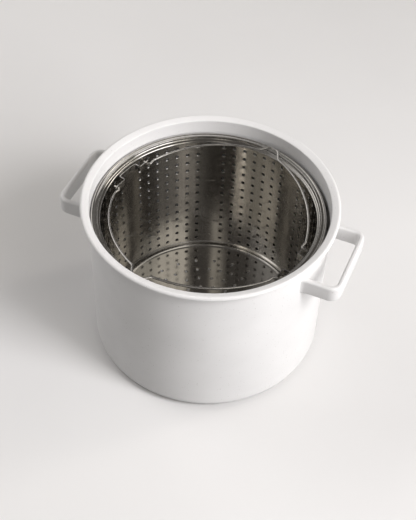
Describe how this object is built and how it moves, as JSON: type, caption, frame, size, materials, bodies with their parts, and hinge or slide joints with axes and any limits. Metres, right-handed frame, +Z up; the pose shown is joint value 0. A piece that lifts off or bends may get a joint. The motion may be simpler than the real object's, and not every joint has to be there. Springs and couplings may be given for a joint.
{
  "type": "pasta pot",
  "caption": "Deep enamelled pot with strap handles and a perforated stainless strainer basket that lifts out by wire bails.",
  "frame": {"origin": "centre of the pot's underside, on the surface it stands on", "axes": "+Z up along the pot's axis, X through the two pot handles, Y across them"},
  "size_m": [0.282, 0.24, 0.1726],
  "materials": {
    "enamel": "satin white enamel on steel",
    "basket_steel": "polished stainless sheet",
    "bracket_steel": "plain stainless strip",
    "wire_steel": "bright drawn stainless wire"
  },
  "bodies": {
    "pot": {"pot_body": "enamel", "handle_left": "enamel", "handle_right": "enamel"},
    "strainer": {"basket": "basket_steel", "hinge_bracket_left": "bracket_steel", "hinge_bracket_right": "bracket_steel"},
    "front_bail": {"bail_front": "wire_steel"},
    "back_bail": {"bail_back": "wire_steel"}
  },
  "joints": [
    {"name": "basket_lift", "type": "slide", "parent": "pot", "child": "strainer", "axis": [0, 0, 1], "range_m": [0, 0.175]},
    {"name": "bail_back_swing", "type": "hinge", "parent": "strainer", "child": "back_bail", "pos_m": [0.00412, 0.02092, 0.1475], "axis": [0.9711, -0.2385, 0], "range_deg": [0, 95]},
    {"name": "bail_front_swing", "type": "hinge", "parent": "strainer", "child": "front_bail", "pos_m": [-0.00637, -0.02181, 0.1475], "axis": [-0.9711, 0.2385, 0], "range_deg": [0, 95]}
  ]
}
